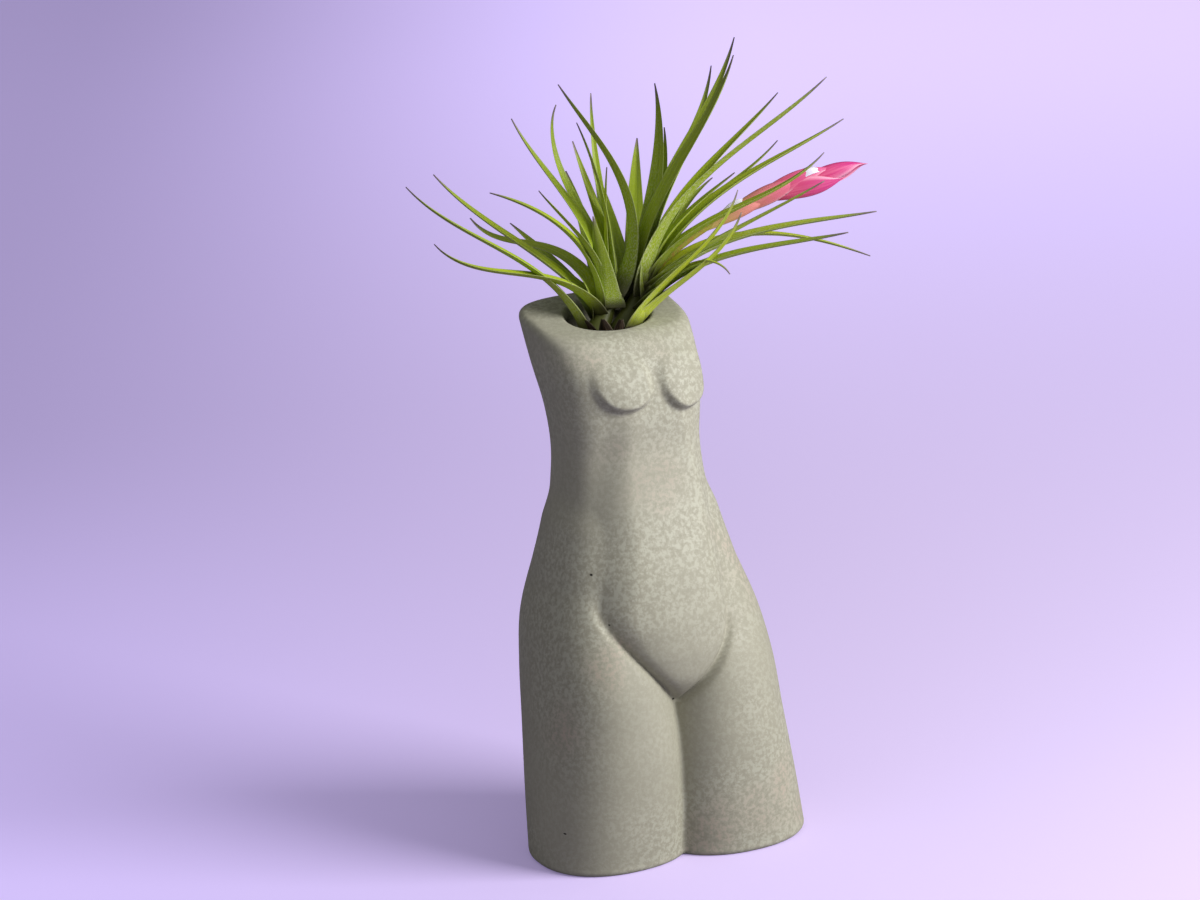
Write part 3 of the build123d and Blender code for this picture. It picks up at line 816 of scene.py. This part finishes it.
def dry_material():
    """Dark dry leaf base with a brown grain and silvery edges."""
    s = Shader("dry_leaf")
    along, across, seed = s.attribute("along"), s.attribute("across"), s.attribute("seed")
    place = s.combine(s.times(across, 8.0), s.times(along, 2.0), s.times(seed, 40.0))
    grain = s.noise(1.0, 3.0, 0.6, 0.2, place)
    colour = s.mix(s.span(grain, 0.35, 0.65), (26, 22, 18), (78, 58, 40))
    colour = s.mix(s.span(along, 0.35, 0.9, 0, 0.5), colour, (34, 29, 23))
    rim = s.span(s.math("ABSOLUTE", across), 0.8, 1.0, 0, 0.45)
    colour = s.mix(rim, colour, (132, 124, 104))
    return s.finish(colour, 0.75, s.bump(grain, 0.0003, 0.7), Specular_IOR_Level=0.25)


def root_material():
    """Rough dark bark."""
    s = Shader("roots")
    bark = s.noise(420, 3.0, 0.65, 0.5)
    colour = s.mix(s.span(bark, 0.35, 0.65), (44, 30, 20), (104, 74, 48))
    return s.finish(colour, 0.85, s.bump(bark, 0.0005, 0.8), Specular_IOR_Level=0.2)


def dry_bases():
    growth, foot = Growth(), STUB_TOP - np.array([0, 0, BASE_BELOW])
    for heading, rise, length, wide in DRY_BASES:
        start = foot + outward(math.radians(heading)) * (STUB_RADIUS - BASE_INSET)
        turn = rng.uniform(-8, 8)
        lean, more_lean = rise - BASE_LEAN, rise - TIP_LEAN
        frames = arc_frames(start, heading, rise, lean, more_lean, turn, length)
        twist = rng.uniform(-14, 14)
        blade(growth, frames, wide, DRY_THICK, DRY_TIP_WIDTH, twist, DRY_WAVE, 0.0, 0.0, DRY_CLASP)
    growth.make("dry_bases", dry_material(), "dry_leaf", ["dry_sheaths"])


def stub():
    """Rings of the knobbly stub, which narrows to its lower end."""
    turns = np.linspace(0, 2 * np.pi, STUB_SIDES, endpoint=False)
    rings = []
    for place in np.linspace(0, 1, STUB_RINGS):
        knob = 1 + 0.08 * np.sin(3 * turns + 9 * place) + 0.05 * np.sin(7 * turns - 14 * place)
        radius = STUB_RADIUS * (0.5 + 0.5 * place) * knob * (0.93 if place > 0.95 else 0.97)
        radius = radius * (0.55 + 0.45 * smooth_step(place, 0, 0.12))
        z = np.full(STUB_SIDES, -STUB_LENGTH * (1 - place))
        rings.append(STUB_TOP + np.stack([radius * np.cos(turns), radius * np.sin(turns), z], -1))
    return rings


def stub_and_roots():
    growth = Growth()
    growth.add(stub())
    places = np.linspace(0, 1, ROOT_RINGS)
    for number in range(ROOTS):
        if number < len(MAIN_ROOTS):
            heading, fall, curl = MAIN_ROOTS[number]
            length, depth, radius = ROOT_LENGTH, 0.5, MAIN_ROOT_RADIUS
        else:
            heading = number * GOLDEN_ANGLE
            fall, curl = rng.uniform(-80, -66), rng.uniform(-96, -80)
            length = ROOT_LENGTH * rng.uniform(0.5, 0.9)
            depth, radius = rng.uniform(0.55, 0.85), FINE_ROOT_RADIUS
        start = STUB_TOP - np.array([0, 0, STUB_LENGTH * depth])
        turn = rng.uniform(-15, 15)
        frames = arc_frames(start, heading, fall, (fall + curl) / 2, curl, turn, length)
        tube(growth, frames, places, radius * (1 - ROOT_TAPER * places), ROOT_SIDES)
    growth.make("stub_and_roots", root_material(), "roots", ["root_clump"])


# The photograph's viewing angle: azimuth, elevation and roll, then the distance in metres, and
# the aim, the lens and the sensor in millimetres
VIEW_AZIMUTH, VIEW_ELEVATION, VIEW_ROLL = math.radians(-25), math.radians(16), math.radians(4)
VIEW_DISTANCE, VIEW_AIM, VIEW_LENS, VIEW_SENSOR = 1.5, Vector((3.18, 34.61, 114.09)), 148.5, 36
LAMP_AIM, WORLD_STRENGTH = Vector((0, 0.01, 0.09)), 0.27
# The floor's edges and its curve up to the backdrop, in metres
FLOOR_SIDE, FLOOR_FRONT, CURVE_START, CURVE_RADIUS, BACKDROP_TOP = 4.0, -2.5, 2.4, 0.9, 3.5
FLOOR_BELOW_KEY = (0.44, -0.52, 0.0)
# Cosine and sine of the view's azimuth, for the floor's shades across the view and away from it
VIEW_COSINE, VIEW_SINE = 0.906, 0.423


def floor_material():
    """Pale lilac floor with a glow, seen only by the camera, that follows the photo's backdrop."""
    s = Shader("floor")
    seen = s.add("ShaderNodeLightPath").outputs["Is Camera Ray"]
    x, y, _ = s.split(s.coordinates)
    across = s.math("SUBTRACT", s.times(x, VIEW_COSINE), s.times(y, VIEW_SINE))
    depth = s.math("ADD", s.times(x, VIEW_SINE), s.times(y, VIEW_COSINE))
    right, far = s.span(across, -0.30, 0.10), s.span(depth, 0.1, 1.25)
    # Painted light: the floor's colour is darker to the left and lighter to the right, as the
    # light falls across it.
    pale = s.mix(right, (204, 188, 244), (224, 208, 250))
    # The floor right under the key lamp is written darker, so that it doesn't clip to white
    away = s.distance(s.coordinates, FLOOR_BELOW_KEY)
    pale = s.mix(s.span(away, 0.06, 0.54), (126, 117, 142), pale)
    near_left = s.times(s.math("SUBTRACT", 1.0, right), s.span(depth, 0.55, 0.0))
    glow = s.math("ADD", 0.15, s.times(near_left, 0.4))
    glow = s.math("ADD", glow, s.times(far, s.math("ADD", 0.2, s.times(right, 0.74))))
    s.join(s.times(seen, glow), s.surface.inputs["Emission Strength"])
    s.surface.inputs["Emission Color"].default_value = tone(188, 172, 228)
    return s.finish(s.mix(seen, (150, 144, 168), pale), 0.85, Specular_IOR_Level=0.1)


def stage():
    """Floor that curves up into a backdrop far behind the object."""
    profile = [(FLOOR_FRONT, 0.0)]
    for turn in np.radians(range(0, 91, 9)):
        y, z = CURVE_START + CURVE_RADIUS * math.sin(turn), CURVE_RADIUS * (1 - math.cos(turn))
        profile.append((y, z))
    profile.append((CURVE_START + CURVE_RADIUS, BACKDROP_TOP))
    points = [(x, y, z) for x in (-FLOOR_SIDE, FLOOR_SIDE) for y, z in profile]
    count = len(profile)
    faces = [(i, i + 1, count + i + 1, count + i) for i in range(count - 1)]
    mesh = bpy.data.meshes.new("floor")
    mesh.from_pydata(points, [], faces)
    mesh.polygons.foreach_set("use_smooth", [True] * len(mesh.polygons))
    mesh.materials.append(floor_material())
    made = bpy.data.objects.new("floor", mesh)
    bpy.context.scene.collection.objects.link(made)


def outlook(azimuth, elevation):
    """Direction towards a lamp or the camera. Azimuth 0 is the front."""
    level = math.cos(elevation)
    return Vector((math.sin(azimuth) * level, -math.cos(azimuth) * level, math.sin(elevation)))


def lamp(name, azimuth, elevation, distance, size, power, colour):
    data = bpy.data.lights.new(name, "AREA")
    data.size, data.energy, data.color = size, power, colour
    made = bpy.data.objects.new(name, data)
    way = outlook(math.radians(azimuth), math.radians(elevation))
    made.location = LAMP_AIM + way * distance
    made.rotation_euler = way.to_track_quat("Z", "Y").to_euler()
    bpy.context.scene.collection.objects.link(made)


def camera():
    back = outlook(VIEW_AZIMUTH, VIEW_ELEVATION)
    level = Vector((math.cos(VIEW_AZIMUTH), math.sin(VIEW_AZIMUTH), 0))
    rise = back.cross(level)
    right = level * math.cos(VIEW_ROLL) - rise * math.sin(VIEW_ROLL)
    up = level * math.sin(VIEW_ROLL) + rise * math.cos(VIEW_ROLL)
    data = bpy.data.cameras.new("camera")
    data.lens, data.sensor_width = VIEW_LENS, VIEW_SENSOR
    made = bpy.data.objects.new("camera", data)
    turned = Matrix((right, up, back)).transposed().to_4x4()
    made.matrix_world = Matrix.Translation(VIEW_AIM * MM + back * VIEW_DISTANCE) @ turned
    bpy.context.scene.collection.objects.link(made)
    bpy.context.scene.camera = made


vase()
green = leaf_material()
rosette("left_leaves", LEFT_FOOT, LEFT_TOP, LEFT_LEAVES, green, "left_rosette")
rosette("right_leaves", RIGHT_FOOT, RIGHT_TOP, RIGHT_LEAVES, green, "right_rosette")
spike()
dry_bases()
stub_and_roots()
stage()
# Azimuth and elevation in degrees, distance and size in metres, power in watts, colour
lamp("key", 40, 26, 1.0, 0.56, 13.2, (1.0, 0.985, 0.96))
lamp("fill", -75, 40, 1.8, 1.2, 1.2, (0.95, 0.95, 1.0))
world = bpy.data.worlds.new("world")
world.use_nodes = True
background = world.node_tree.nodes["Background"]
background.inputs["Color"].default_value = (1, 1, 1, 1)
background.inputs["Strength"].default_value = WORLD_STRENGTH
bpy.context.scene.world = world
bpy.context.scene.view_settings.view_transform = "Standard"
camera()
